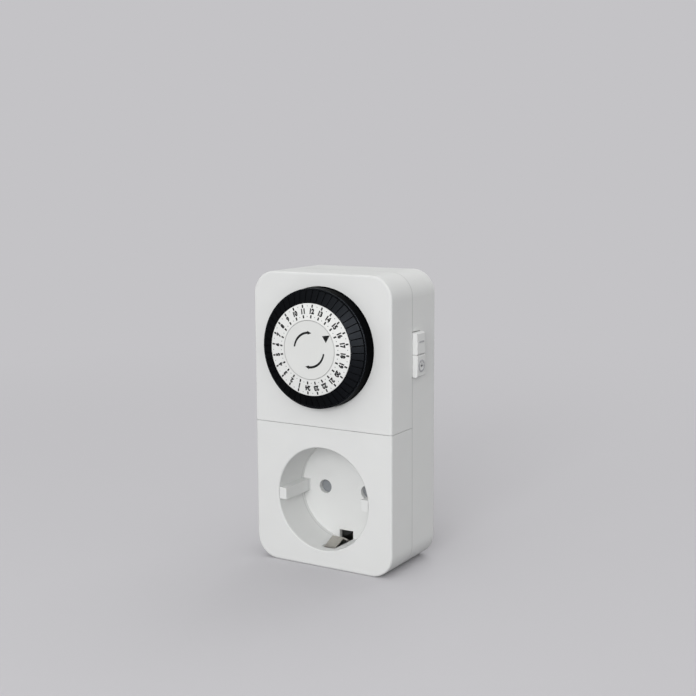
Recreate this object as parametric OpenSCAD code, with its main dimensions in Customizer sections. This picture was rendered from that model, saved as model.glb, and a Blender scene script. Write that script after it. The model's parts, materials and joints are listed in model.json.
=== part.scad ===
// Plug-in 24 hour segment timer with an earthed pin plug behind and an earthed socket in front.
// Every piece is drawn with the timer lying on its back: x runs across the housing, y runs up it
// and z comes out of its front. upright() then stands the piece up, so the front faces -Y.
// The origin is the middle of the two plug pins, on the face of the plug boss.

/* [Housing] */
// Width of the housing
body_w = 60.3; // [54:0.1:72]
// Height of the housing
body_h = 113; // [102:0.5:130]
// Depth of the housing from its front face to its rear face, without the plug boss
body_d = 34.3; // [34:0.1:42]
// Depth of the two front covers
cover_d = 15.9; // [15:0.1:17]
// Width of the face between the socket well and the bottom edge
well_margin = 6.7; // [6:0.1:12]
// Width of the face between the dial and the top edge
dial_margin = 5.2; // [4.6:0.1:10]
// Radius of the housing's corners, seen from the front
corner_r = 9; // [7:0.5:11]
// Radius along the front and rear edges
edge_r = 0.8; // [0.5:0.1:1.5]
// Thickness of the housing walls
wall = 2; // [1.8:0.1:2.2]
// Width of the groove between the front covers
groove_w = 0.16; // [0.1:0.02:0.5]
// Width of the shadow gap between the covers and the rear housing
seam_w = 0.12; // [0.06:0.02:0.3]

/* [Plug] */
// Distance between the centres of the two pins, of the plug and of the socket
pin_pitch = 19; // [18.5:0.1:19.5]
// Radius of a plug pin
pin_r = 2.4; // [2:0.1:2.5]
// Length of a plug pin in front of the plug boss
pin_len = 19; // [18:0.5:20]
// Radius of the round plug boss
boss_r = 18.5; // [18.3:0.1:19]
// Length of the plug boss behind the housing
boss_len = 17.2; // [16:0.1:18]
// Wall of the plug boss
boss_wall = 1.9; // [1.6:0.1:2.2]
// Thickness of the end of the plug boss, which holds the pins
boss_end = 3; // [2.5:0.1:4]
// Width of the guide groove on each side of the plug boss
boss_groove = 5.4; // [5:0.1:6]
// Depth of the guide groove
boss_groove_d = 2.6; // [2:0.1:3]

/* [Socket] */
// Radius of the socket well
well_r = 20; // [19.5:0.1:20.5]
// Depth of the socket well behind the front face
well_d = 17.5; // [17:0.1:18]
// Wall of the socket insert
insert_wall = 1.4; // [1.2:0.1:1.8]
// Thickness of the floor of the well
floor_t = 2; // [1.8:0.1:2.4]
// Radius of a pin hole in the floor
hole_r = 2.75; // [2.6:0.05:3]
// Width of the guide ribs in the well
rib_w = 4.6; // [4:0.1:5]
// Height of the guide ribs above the wall of the well
rib_d = 3.3; // [2.5:0.1:3.6]
// Width of the earth contact strip
earth_w = 4.8; // [4:0.1:5.4]
// Thickness of the contact strips
strip_t = 0.6; // [0.4:0.1:0.8]

/* [Dial] */
// Radius of the rim of the dial
dial_r = 22.5; // [22:0.1:22.6]
// Height of the rim in front of the housing
rim_up = 5; // [4:0.1:6]
// Width of the black ring round the hour disc, with the rim and the tappets
tappet_ring = 5.3; // [4.9:0.1:5.7]
// Width of the printed ring of the hour disc
hour_ring = 6.3; // [5:0.1:7]
// Height of the outer edge of the hour disc in front of the housing
hour_up = 7.3; // [6.8:0.1:8]
// Height of the fixed centre disc in front of the housing
centre_up = 8.2; // [8:0.1:9]
// Number of tappets, two for each hour
tappet_count = 48; // [48]
// Travel of a tappet when it is pressed in
tappet_travel = 2.5; // [1.5:0.1:2.6]
// Gap between one tappet and the next
tappet_gap = 0.22; // [0.15:0.01:0.3]
// Direction of the pointer and of the feeler, counted from +x
pointer_deg = 33.5; // [30:0.5:36]
// Hour under the pointer
pointer_hour = 15.5; // [0:0.5:23.5]

/* [Gears] */
// Teeth on the hub of the dial
hub_teeth = 36; // [36]
// Teeth of the clutch pinion
pinion_teeth = 12; // [12]
// Teeth of the clutch wheel
wheel_teeth = 40; // [40]
// Teeth of the idler's pinion
idler_pinion_teeth = 10; // [10]
// Teeth of the idler's wheel
idler_wheel_teeth = 40; // [40]
// Teeth of the motor pinion
motor_teeth = 8; // [8]
// Thickness of the hub's teeth
dial_gear_t = 2.5; // [2:0.1:2.6]
// Thickness of the train's wheels
wheel_t = 1.4; // [1:0.1:1.5]
// Play between the teeth
backlash = 0.12; // [0.08:0.01:0.16]

/* [Works] */
// Thickness of the mechanism plate
plate_t = 1.5; // [1.2:0.1:1.8]
// Radius of the motor can
motor_r = 13.5; // [12:0.5:14]
// Depth of the motor can
motor_d = 12; // [9:0.5:12.5]
// Distance of the motor's output shaft from the middle of its can
shaft_off = 9; // [6:0.5:10]
// Radius of the dial post
post_r = 3; // [2.5:0.1:3.5]
// Radius of the gear arbors
arbor_r = 1; // [0.8:0.05:1.2]
// Radial running clearance on a post, arbor or pin
run = 0.05; // [0.03:0.01:0.08]

/* [Mode rocker] */
// Height of the rocker
rocker_h = 16.8; // [14:0.2:18]
// Depth of the rocker along the side of the housing
rocker_d = 6; // [5:0.1:6.5]
// Height of the rocker in front of the side of the housing
rocker_up = 2.2; // [1.5:0.1:2.6]
// Distance of the middle of the rocker below the dial axis
rocker_drop = 2.9; // [0:0.1:6]
// Gap around the rocker
rocker_gap = 0.3; // [0.25:0.01:0.4]

/* [Hidden] */
$fn = 96;

shell_white = "#e4e5e4";
dial_black = "#17181b";
brass_yellow = "#c9a75a";
steel_grey = "#b9bcc0";
bright_nickel = "#cfd0cf";
inner_grey = "#8d9094";

eps = 0.01;        // overlap that keeps a cut from leaving a skin
play = 0.1;        // clearance between pieces that slide past each other
gap = 0.3;         // clearance between pieces that turn past each other

// Levels along z, from the face of the plug boss to the front.
rear_z = boss_len;
front_z = rear_z + body_d;
seam_z = front_z - cover_d;
inner_rear_z = rear_z + wall;
inner_front_z = front_z - wall;
floor_z = front_z - well_d;
floor_back_z = floor_z - floor_t;

// Places up the housing, from the socket axis.
socket_up = well_r + well_margin;
mid_y = body_h / 2 - socket_up;
dial_up = body_h - socket_up - dial_r - dial_margin;
joint_up = (well_r + dial_up - dial_r) / 2;

// Corner posts that take the housing screws.
screw_r = 1.25;
screw_head_r = 2.6;
screw_post_r = 3.2;
screw_inset = 6.5;
screw_x = body_w / 2 - screw_inset;
screw_top_y = body_h - socket_up - screw_inset;
screw_bottom_y = screw_inset - socket_up;
screw_joint_z = seam_z - 5;
screw_head_z = rear_z + 3;
screw_len = 20;

// Tongue of the rear housing inside the covers.
tongue_t = 0.9;
tongue_h = 1.5;

// The dial and its tappets.
dial_gap = 0.3;
cover_gap = 0.4;
gear_top_z = inner_front_z - cover_gap;
gear_back_z = gear_top_z - dial_gear_t;
hour_r = dial_r - tappet_ring;
centre_r = hour_r - hour_ring;
rim_t = 0.6;
flange_w = 1;
flange_t = 1.2;
channel_out_r = dial_r - rim_t;
channel_in_r = hour_r + 0.05;
channel_wall = 0.9;
inner_wall_r = channel_in_r - channel_wall;
tappet_deg = 360 / tappet_count;
hour_deg = 2 * tappet_deg;
tappet_mid_r = (channel_out_r + channel_in_r) / 2;
head_deg = tappet_deg - 2 * asin(tappet_gap / 2 / tappet_mid_r);
leg_in_r = channel_in_r + 1;
leg_out_r = channel_out_r - 0.9;
leg_deg = 3.6;
slot_deg = leg_deg + 2 * asin(play / leg_in_r);
tappet_out_z = gear_back_z - 0.2;
tappet_in_z = tappet_out_z - tappet_travel;
head_z = gear_top_z + tappet_travel + play;
midnight_deg = pointer_deg + pointer_hour * hour_deg;
cone_slope = (hour_up - rim_up) / (dial_r - hour_r);
disc_gap = 0.08;
disc_t = 1.2;
shelf_z = front_z + hour_up - disc_t;
hub_r = 5.2;

// Levels of the works behind the dial.
wheel_top_z = tappet_in_z - gap;
wheel_back_z = wheel_top_z - wheel_t;
plate_top_z = wheel_back_z - 0.6;
plate_back_z = plate_top_z - plate_t;
idler_top_z = plate_back_z - gap;
idler_back_z = idler_top_z - wheel_t;
motor_lid_t = 1;
motor_top_z = idler_back_z - gap;
motor_back_z = motor_top_z - motor_lid_t - motor_d;

// The hub's teeth and the clutch pinion fill the room inside the tappets' channel,
// and the clutch wheel fills the room beside the dial post.
mesh_gap = 0.05;
addendum = 0.9;
pinion_room = 0.85;
hub_mod = (inner_wall_r - mesh_gap - pinion_room) / (hub_teeth / 2 + pinion_teeth + addendum);
clutch_run = (hub_teeth + pinion_teeth) * hub_mod / 2 + mesh_gap;
wheel_room = 0.69;
train_mod = (clutch_run - post_r - wheel_room) / (wheel_teeth / 2 + addendum);

// Centres of the gear train, seen from the front.
clutch_deg = -115;
clutch_x = clutch_run * cos(clutch_deg);
clutch_y = dial_up + clutch_run * sin(clutch_deg);
idler_deg = 108;
idler_run = (wheel_teeth + idler_pinion_teeth) * train_mod / 2 + mesh_gap;
idler_x = clutch_x + idler_run * cos(idler_deg);
idler_y = clutch_y + idler_run * sin(idler_deg);
motor_deg = 24;
motor_run = (idler_wheel_teeth + motor_teeth) * train_mod / 2 + mesh_gap;
shaft_x = idler_x + motor_run * cos(motor_deg);
shaft_y = idler_y + motor_run * sin(motor_deg);
can_deg = 192;
motor_x = shaft_x + shaft_off * cos(can_deg);
motor_y = shaft_y + shaft_off * sin(can_deg);

// Ears of the motor's lid, with the standoffs and screws that hold them.
ear_deg = 58;
ear_r = 2.5;
ear_reach = motor_r + ear_r + 0.9;
motor_screw_r = 0.8;
standoff_r = 2;

// Mechanism plate and the posts that carry it.
plate_w = body_w - 2 * wall - 1;
plate_low_y = joint_up + 1.7;
plate_high_y = screw_top_y - screw_post_r - 1.2;
plate_post_r = 3;
plate_post_sink = 0.5;
plate_post_x = body_w / 2 - wall - plate_post_r + plate_post_sink;
plate_post_low_y = plate_low_y + plate_post_r + 1.5;
plate_post_high_y = plate_high_y - plate_post_r - 1;
plate_screw_r = 1;
plate_screw_len = 8.5;
plate_screw_head_r = 2;
plate_screw_head_t = 1.3;

// Switch: the feeler lever lies behind the tappet under the pointer.
nose_x = tappet_mid_r * cos(pointer_deg);
nose_y = dial_up + tappet_mid_r * sin(pointer_deg);
lever_w = 4.4;
lever_t = 1.8;
lever_arm = 23;
pivot_y = nose_y - lever_arm;
pivot_z = plate_back_z - 2.4;
lever_pin_r = 0.9;
lever_hub_r = 1.9;
cheek_t = 1.4;
cheek_x = lever_w / 2 + play;
nose_r = 1.2;
pusher_arm = 13.5;
blade_t = 0.4;
blade_gap = 2.1;
blade_z = pivot_z - blade_gap - blade_t;
blade_root_y = pivot_y - 1.5;
rivet_r = 1.5;
rivet_t = 0.7;
contact_arm = 19.5;
contact_y = pivot_y + contact_arm;
contact_play = 0.04;
fixed_z = blade_z - 2 * rivet_t - contact_play - strip_t;

// Contacts of the plug and the socket.
sleeve_r = 3.3;
sleeve_in_r = pin_r + 0.05;
shutter_t = 1.4;
shutter_z = floor_back_z - 0.2 - shutter_t;
sleeve_top_z = shutter_z - 0.5;
sleeve_back_z = floor_z - pin_len - 0.5;
root_top_z = sleeve_back_z - 1.2;
pin_collar_t = 1.5;
pin_neck_r = pin_r + 0.8;
pin_collar_r = pin_r + 1.6;
pin_root_r = 1.5;
shutter_hub_r = 1.5;
shutter_end = 3.2;
clip_t = 0.6;
clip_z = shutter_z - gap - clip_t;

// The strips share the room between the rear wall and the shutter's clip.
strip_step = (clip_z - inner_rear_z - 1.4) / 3;
line_strip_w = 4;
line_strip_z = inner_rear_z + 0.6;
load_strip_z = line_strip_z + strip_step;
earth_bar_z = load_strip_z + strip_step;

// Mode rocker.
rocker_y = dial_up - rocker_drop;
rocker_x = body_w / 2 - 3.2;
rocker_pin_r = 0.9;
rocker_top_z = seam_z - 0.1;
rocker_low_z = rocker_top_z - rocker_d;

// ---------------------------------------------------------------- shapes

module upright() rotate([90, 0, 0]) children();

module at_dial() translate([0, dial_up, 0]) children();

module tube(r_out, r_in, z0, z1) {
    translate([0, 0, z0]) difference() {
        cylinder(r = r_out, h = z1 - z0);
        translate([0, 0, -1]) cylinder(r = r_in, h = z1 - z0 + 2);
    }
}

module rod(r, z0, z1) translate([0, 0, z0]) cylinder(r = r, h = z1 - z0);

module slab(x0, x1, y0, y1, z0, z1) {
    translate([x0, y0, z0]) cube([x1 - x0, y1 - y0, z1 - z0]);
}

module round_rect(w, h, r) {
    square([w - 2 * r, h], center = true);
    square([w, h - 2 * r], center = true);
    for (sx = [-1, 1], sy = [-1, 1])
        translate([sx * (w / 2 - r), sy * (h / 2 - r)]) circle(r);
}

// A prism with the housing's outline, drawn in by inset all round.
module outline_prism(inset, z0, z1) {
    translate([0, mid_y, z0]) linear_extrude(z1 - z0)
        round_rect(body_w - 2 * inset, body_h - 2 * inset, corner_r - inset);
}

// Section of a slab of half width half and depth d, rounded at its far edges.
module slab_section(half, d, e) {
    translate([-half, 0]) square([2 * half, d - e]);
    translate([-half + e, 0]) square([2 * half - 2 * e, d]);
    for (s = [-1, 1]) translate([s * (half - e), d - e]) circle(e);
}

// A slab with upright corners of radius r and a radius e all round its far face.
module soft_slab(w, h, d, r, e) {
    translate([0, h / 2 - r, 0]) rotate([90, 0, 0])
        linear_extrude(h - 2 * r) slab_section(w / 2, d, e);
    translate([r - w / 2, 0, 0]) rotate([90, 0, 90])
        linear_extrude(w - 2 * r) slab_section(h / 2, d, e);
    for (sx = [-1, 1], sy = [-1, 1])
        translate([sx * (w / 2 - r), sy * (h / 2 - r), 0]) rotate_extrude() {
            square([r, d - e]);
            square([r - e, d]);
            translate([r - e, d - e]) intersection() {
                circle(e);
                square(2 * e);
            }
        }
}

// A bent metal strip: its centre line is path, in the plane of the drawing.
module ribbon(path, t) {
    for (i = [0 : len(path) - 2]) {
        step = path[i + 1] - path[i];
        translate(path[i]) rotate(atan2(step.y, step.x))
            translate([0, -t / 2]) square([norm(step), t]);
    }
    for (i = [1 : len(path) - 2]) translate(path[i]) circle(d = t, $fn = 24);
}

// A ribbon in the y-z plane, w wide across x and centred on x0.
module strip_yz(path, t, w, x0) {
    translate([x0 - w / 2, 0, 0]) rotate([90, 0, 90]) linear_extrude(w) ribbon(path, t);
}

// Straight-flanked gear outline with teeth about as deep as a standard tooth.
module gear_outline(teeth, m) {
    pitch_r = teeth * m / 2;
    tip_r = pitch_r + addendum * m;
    root_r = pitch_r - 1.2 * m;
    half = 90 / teeth - backlash / 4 / pitch_r * 180 / PI;
    tip_half = half - addendum * m * tan(24) / pitch_r * 180 / PI;
    root_half = min(half + 1.2 * m * tan(16) / pitch_r * 180 / PI, 180 / teeth * 0.94);
    polygon([
        for (i = [0 : teeth - 1], p = [[-root_half, root_r], [-tip_half, tip_r],
                [tip_half, tip_r], [root_half, root_r]])
            p[1] * [cos(360 / teeth * i + p[0]), sin(360 / teeth * i + p[0])]
    ]);
}

module gear(teeth, m, z0, z1, bore_r) {
    translate([0, 0, z0]) linear_extrude(z1 - z0) difference() {
        gear_outline(teeth, m);
        circle(bore_r);
    }
}

// Children repeated at the four corner posts.
module at_screws() {
    for (sx = [-1, 1], y = [screw_bottom_y, screw_top_y]) translate([sx * screw_x, y, 0]) children();
}

module at_plate_posts() {
    for (sx = [-1, 1], y = [plate_post_low_y, plate_post_high_y])
        translate([sx * plate_post_x, y, 0]) children();
}

module at_pins() {
    for (s = [-1, 1]) translate([s * pin_pitch / 2, 0, 0]) children();
}

// ---------------------------------------------------------------- housing

module rear_shell() {
    difference() {
        union() {
            translate([0, mid_y, seam_z]) mirror([0, 0, 1])
                soft_slab(body_w, body_h, seam_z - rear_z, corner_r, edge_r);
            outline_prism(wall - tongue_t, seam_z - 1, seam_z + tongue_h);
            plug_boss();
        }
        outline_prism(wall, inner_rear_z, seam_z + tongue_h + 1);
        rod(boss_r - boss_wall, boss_end, inner_rear_z + 1);
    }
    groove_linings();
}

// Round boss that enters the wall socket, with a chamfer at its end.
module plug_boss() {
    chamfer = 1;
    rotate_extrude() polygon([
        [0, 0], [boss_r - chamfer, 0], [boss_r, chamfer],
        [boss_r, inner_rear_z], [0, inner_rear_z]
    ]);
}

// Thickened sides of the boss behind its guide grooves.
module groove_linings() {
    lining = 1.6;
    intersection() {
        plug_boss();
        for (s = [0, 180]) rotate(s)
            slab(boss_r - boss_groove_d - lining, boss_r + 1,
                 -boss_groove / 2 - lining, boss_groove / 2 + lining, boss_end - 1, inner_rear_z);
    }
}

module guide_grooves() {
    for (s = [0, 180]) rotate(s)
        slab(boss_r - boss_groove_d, boss_r + 1, -boss_groove / 2, boss_groove / 2, -1, rear_z);
}

// Recess for the earth strip along the top and the bottom of the boss, with the slot it enters by.
module earth_recesses() {
    half = earth_w / 2 + 0.6;
    recess = 1.5;
    for (s = [0, 180]) rotate(s) {
        slab(-half, half, boss_r - recess, boss_r + 1, 0.8, rear_z - 2.6);
        slab(-half, half, boss_r - boss_wall - 2, boss_r + 1, rear_z - 5, rear_z - 2.6);
    }
}

module rocker_notch() {
    half = rocker_h / 2 + rocker_gap;
    slab(body_w / 2 - wall - 1, body_w / 2 + 1, rocker_y - half, rocker_y + half,
         rocker_low_z - rocker_gap, seam_z + tongue_h + 1);
}

// Lug on the inside of the side wall that holds the rocker's pin.
module rocker_lug() {
    top = rocker_low_z - rocker_gap;
    slab(rocker_x - 2.2, body_w / 2 - wall + eps, rocker_y - 2.4, rocker_y + 2.4, top - 4, top);
}

// The plate posts' ends, which stand clear of the covers.
module plate_post_ends() {
    intersection() {
        at_plate_posts() rod(plate_post_r, seam_z - 1, plate_back_z);
        outline_prism(wall + play, seam_z - 2, plate_back_z + 1);
    }
}

module rear_housing() {
    color(shell_white) upright() difference() {
        union() {
            rear_shell();
            at_screws() tube(screw_post_r, screw_r + 0.3, screw_head_z, screw_joint_z);
            at_screws() rod(screw_post_r, rear_z + 1, screw_head_z + 1.5);
            at_plate_posts() rod(plate_post_r, rear_z + 1, seam_z);
            plate_post_ends();
            rocker_lug();
        }
        guide_grooves();
        earth_recesses();
        rocker_notch();
        at_pins() rod(pin_neck_r, -1, boss_end + 1);
        at_screws() rod(screw_head_r + 0.3, rear_z - 1, screw_head_z);
        at_screws() rod(screw_r + 0.3, rear_z, screw_joint_z + 1);
        at_plate_posts() rod(plate_screw_r, plate_top_z - plate_screw_len - 1, plate_back_z + 1);
        translate([rocker_x, rocker_y, 0]) rod(rocker_pin_r, rocker_low_z - 4, rocker_low_z);
    }
}

// The front of the housing in one piece, before it is split into its two covers.
module front_shell() {
    difference() {
        translate([0, mid_y, seam_z]) soft_slab(body_w, body_h, cover_d, corner_r, edge_r);
        outline_prism(wall, seam_z - 1, inner_front_z);
        outline_prism(wall - tongue_t - play, seam_z - 1, seam_z + tongue_h + play);
        cover_groove();
        seam_gap();
    }
}

// Shallow groove over the joint between the covers.
module cover_groove() {
    deep = 0.8;
    half = body_w / 2;
    difference() {
        slab(-half - 1, half + 1, joint_up - groove_w / 2, joint_up + groove_w / 2,
             seam_z - 1, front_z + 1);
        slab(-half + deep, half - deep, joint_up - 1, joint_up + 1, seam_z - 2, front_z - deep);
    }
}

// Shadow gap round the covers, where they meet the rear housing.
module seam_gap() {
    deep = 0.6;
    difference() {
        outline_prism(-1, seam_z - 1, seam_z + seam_w);
        outline_prism(deep, seam_z - 2, seam_z + seam_w + 1);
    }
}

module cover_post() tube(screw_post_r, screw_r, screw_joint_z, inner_front_z + eps);

module clock_cover() {
    color(shell_white) upright() difference() {
        union() {
            intersection() {
                front_shell();
                slab(-body_w, body_w, joint_up, body_h, 0, front_z + 1);
            }
            for (s = [-1, 1]) translate([s * screw_x, screw_top_y, 0]) cover_post();
        }
        at_dial() rod(dial_r + dial_gap, inner_front_z - 1, front_z + 1);
    }
}

module socket_cover() {
    edge = 0.35;
    color(shell_white) upright() difference() {
        union() {
            intersection() {
                front_shell();
                slab(-body_w, body_w, -body_h, joint_up, 0, front_z + 1);
            }
            for (s = [-1, 1]) translate([s * screw_x, screw_bottom_y, 0]) cover_post();
        }
        rod(well_r, inner_front_z - 1, front_z + 1);
        translate([0, 0, front_z - edge]) cylinder(r1 = well_r, r2 = well_r + edge + 0.1, h = edge + 0.1);
    }
}

module housing_screws() {
    color(steel_grey) upright() at_screws() difference() {
        union() {
            rod(screw_head_r, screw_head_z - 1.8, screw_head_z);
            rod(screw_r, screw_head_z - eps, screw_head_z + screw_len);
        }
        for (a = [45, 135]) rotate(a) slab(-1.6, 1.6, -0.3, 0.3, screw_head_z - 2, screw_head_z - 1);
    }
}

// ---------------------------------------------------------------- socket

// Guide ribs of the well, which pass the cover's edge with a little play and end just behind its face.
module guide_ribs() {
    sink = 0.4;
    for (s = [0, 180]) rotate(s) {
        slab(well_r - rib_d, well_r + insert_wall / 2, -rib_w / 2, rib_w / 2,
             floor_z - eps, inner_front_z);
        slab(well_r - rib_d, well_r - 2 * play, -rib_w / 2, rib_w / 2,
             inner_front_z - eps, front_z - sink);
    }
}

module socket_insert() {
    slot_half = earth_w / 2 + 0.7;
    color(shell_white) upright() {
        difference() {
            union() {
                tube(well_r + insert_wall, well_r, floor_back_z, inner_front_z);
                rod(well_r + insert_wall / 2, floor_back_z, floor_z);
                guide_ribs();
            }
            at_pins() rod(hole_r, floor_back_z - 1, floor_z + 1);
            for (s = [0, 180]) rotate(s)
                slab(-slot_half, slot_half, well_r - 3.4, well_r + insert_wall + 1,
                     floor_back_z - 1, inner_front_z - 2);
        }
        rod(shutter_hub_r, clip_z - 0.7, floor_back_z + eps);
    }
}

module shutter() {
    half_l = pin_pitch / 2 + shutter_end;
    half_w = hole_r + 0.4;
    color(inner_grey) upright() translate([0, 0, shutter_z]) linear_extrude(shutter_t)
        difference() {
            union() {
                round_rect(2 * half_l, 2 * half_w, half_w - eps);
                circle(shutter_hub_r + 2);
            }
            circle(shutter_hub_r + run);
        }
}

module shutter_clip() {
    color(steel_grey) upright() tube(shutter_hub_r + 1.2, shutter_hub_r, clip_z, clip_z + clip_t);
}

// ---------------------------------------------------------------- contacts

// Two pins, each with a rounded tip, a neck in the boss, a collar behind it and a root.
module plug_pins() {
    tip = 1;
    color(bright_nickel) upright() at_pins() {
        rotate_extrude() {
            translate([0, -pin_len + tip]) square([pin_r, pin_len - tip]);
            translate([0, -pin_len]) square([pin_r - tip, tip + eps]);
            translate([pin_r - tip, -pin_len + tip]) intersection() {
                circle(tip);
                translate([0, -tip]) square(tip);
            }
            square([pin_neck_r, boss_end]);
            translate([0, boss_end]) square([pin_collar_r, pin_collar_t]);
            square([pin_root_r, root_top_z]);
        }
    }
}

// Clamping sleeve behind a pin hole, slit along one side so that it springs.
module sleeve() {
    difference() {
        tube(sleeve_r, sleeve_in_r, sleeve_back_z, sleeve_top_z);
        slab(-0.4, 0.4, -sleeve_r - 1, 0, sleeve_back_z + 3, sleeve_top_z + 1);
    }
}

module neutral_contact() {
    color(brass_yellow) upright() translate([-pin_pitch / 2, 0, 0]) {
        sleeve();
        rod(sleeve_r, root_top_z, sleeve_back_z + eps);
    }
}

// Sleeve of the switched side, with the strip that runs up to the blade's root.
module line_contact() {
    half = line_strip_w / 2;
    riser_y = blade_root_y - 3;
    tab_z = blade_z - strip_t / 2;
    color(brass_yellow) upright() {
        translate([pin_pitch / 2, 0, 0]) {
            sleeve();
            rod(sleeve_r, sleeve_back_z - 0.4, sleeve_back_z + eps);
        }
        difference() {
            slab(pin_pitch / 2 - half, pin_pitch / 2 + half, 0, riser_y,
                 load_strip_z, load_strip_z + strip_t);
            translate([pin_pitch / 2, 0, 0]) rod(sleeve_in_r + 0.2, load_strip_z - 1, load_strip_z + 2);
        }
        slab(pin_pitch / 2 - half, nose_x + half, riser_y - line_strip_w, riser_y,
             load_strip_z, load_strip_z + strip_t);
        strip_yz([[riser_y - 1, load_strip_z + strip_t / 2], [riser_y, load_strip_z + strip_t / 2],
                  [riser_y, tab_z], [blade_root_y + 0.5, tab_z]], strip_t, line_strip_w, nose_x);
    }
}

// Strip from the live pin's root up to the fixed contact of the switch.
module line_strip() {
    half = line_strip_w / 2;
    turn_y = 10;
    low_z = root_top_z + strip_t / 2;
    run_z = line_strip_z + strip_t / 2;
    end_y = contact_y + 3;
    top_z = fixed_z + strip_t / 2;
    color(brass_yellow) upright() {
        strip_yz([[-2, low_z], [turn_y, low_z], [turn_y, run_z], [turn_y + 3, run_z]],
                 strip_t, line_strip_w, pin_pitch / 2);
        slab(pin_pitch / 2 - half, nose_x + half, turn_y + 2, turn_y + 2 + line_strip_w,
             line_strip_z, line_strip_z + strip_t);
        strip_yz([[turn_y + 3, run_z], [end_y, run_z], [end_y, top_z], [contact_y - 2, top_z]],
                 strip_t, line_strip_w, nose_x);
        translate([nose_x, contact_y, 0]) rod(rivet_r, fixed_z + strip_t / 2, fixed_z + strip_t + rivet_t);
    }
}

// Earth strip: clips in the well, a bar between them and contact springs along the boss.
module earth_contact() {
    bar = earth_bar_z;
    inner_y = boss_r - boss_wall - 1.2;
    outer_y = boss_r - 0.9;
    clip_y = well_r + 0.5;
    bulge_y = well_r - 2.4;
    enter_z = rear_z - 3.8;
    color(bright_nickel) upright() {
        strip_yz([[-inner_y, bar], [inner_y, bar]], strip_t, earth_w, 0);
        for (s = [0, 180]) rotate(s) {
            strip_yz([[outer_y, 2], [outer_y + 0.3, 7], [outer_y, enter_z], [inner_y, enter_z],
                      [inner_y, bar], [clip_y, bar], [clip_y, floor_z + 1],
                      [bulge_y, floor_z + 6.5], [clip_y - 0.2, inner_front_z - 3]],
                     strip_t, earth_w, 0);
        }
    }
}

// ---------------------------------------------------------------- dial

// Outline of the dial's works in section: r across, z up. A flange on the rim stays behind the cover.
module dial_section() {
    rim_top = front_z + rim_up;
    chamfer = 0.15;
    web_z = front_z + 0.4;
    web_t = 1.5;
    shelf_r = centre_r + disc_gap + 0.4;
    polygon([
        [channel_out_r, gear_back_z], [dial_r, gear_back_z], [dial_r, gear_top_z - flange_t],
        [dial_r + flange_w, gear_top_z - flange_t], [dial_r + flange_w, gear_top_z],
        [dial_r, gear_top_z], [dial_r, rim_top - chamfer], [dial_r - chamfer, rim_top],
        [channel_out_r, rim_top]
    ]);
    translate([inner_wall_r, gear_back_z])
        square([channel_out_r - inner_wall_r + eps, dial_gear_t]);
    translate([inner_wall_r, gear_back_z]) square([channel_wall, shelf_z - gear_back_z - 0.1]);
    translate([post_r + run, web_z]) square([inner_wall_r - post_r - run + eps, web_t]);
    translate([post_r + run, gear_back_z]) square([hub_r - post_r - run, web_z - gear_back_z + 1]);
    translate([shelf_r, web_z]) square([1, shelf_z - web_z]);
}

// Turning carrier of the tappets: rim, channel with one slot per tappet, and hub with its teeth.
module dial_ring() {
    color(dial_black) upright() at_dial() {
        difference() {
            rotate_extrude() dial_section();
            for (i = [0 : tappet_count - 1])
                rotate(midnight_deg + i * tappet_deg - slot_deg / 2)
                    rotate_extrude(angle = slot_deg)
                        translate([leg_in_r - play, gear_back_z - 1])
                            square([leg_out_r - leg_in_r + 2 * play, dial_gear_t + 2]);
        }
        rotate(clutch_deg) gear(hub_teeth, hub_mod, gear_back_z, gear_top_z, hub_r - 0.5);
    }
}

// Printed hour disc, dished so that it rises towards the centre.
module hour_disc() {
    in_r = centre_r + disc_gap;
    top_out = front_z + hour_up;
    top_in = front_z + centre_up;
    color(shell_white) upright() at_dial() rotate_extrude() polygon([
        [in_r, shelf_z], [hour_r, shelf_z], [hour_r, top_out], [in_r, top_in]
    ]);
}

// Fixed disc in the middle, held by a stem in the dial post.
module centre_disc() {
    top = front_z + centre_up;
    color(shell_white) upright() at_dial() {
        rod(centre_r, top - 1.3, top);
        rod(post_r + 1, front_z + 2.1, top - 1);
        rod(1.4, front_z - 3, front_z + 3);
    }
}

module dial_post() {
    color(inner_grey) upright() at_dial() difference() {
        rod(post_r, plate_top_z, front_z + 2.1);
        rod(1.4, front_z - 3, front_z + 3);
    }
}

// One tappet: a wedge with a sloping top and a narrower leg through the slot behind it.
module tappet() {
    in_r = channel_in_r + 0.05;
    out_r = channel_out_r - play;
    top_in = front_z + hour_up - (in_r - hour_r) * cone_slope;
    top_out = front_z + hour_up - (out_r - hour_r) * cone_slope;
    rotate(-head_deg / 2) rotate_extrude(angle = head_deg) polygon([
        [in_r, head_z], [out_r, head_z], [out_r, top_out], [in_r, top_in]
    ]);
    rotate(-leg_deg / 2) rotate_extrude(angle = leg_deg)
        translate([leg_in_r, tappet_out_z])
            square([leg_out_r - leg_in_r, head_z - tappet_out_z + 1]);
}

// The tappets of the full hour and of the half hour after it.
module tappets(hour) {
    color(dial_black) upright() at_dial()
        for (half = [0, 1]) rotate(midnight_deg - hour * hour_deg - half * tappet_deg) tappet();
}

// ---------------------------------------------------------------- gear train

module clutch_arbor() {
    color(steel_grey) upright() translate([clutch_x, clutch_y, 0]) {
        rod(arbor_r, plate_back_z - 0.5, gear_top_z + 0.2);
        rod(arbor_r + 0.4, plate_back_z - 0.5, plate_back_z);
    }
}

// Angle that puts a gap of the pinion on the line towards the gear it meshes with.
function mesh_deg(teeth, towards) = towards + 180 / teeth;

module clutch_pinion() {
    flange_top = gear_back_z - gap;
    phase = mesh_deg(pinion_teeth, clutch_deg + 180);
    color(inner_grey) upright() translate([clutch_x, clutch_y, 0]) {
        rotate(phase) gear(pinion_teeth, hub_mod, flange_top - eps, gear_top_z, arbor_r + run);
        tube(4, arbor_r + run, flange_top - 0.8, flange_top);
    }
}

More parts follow.
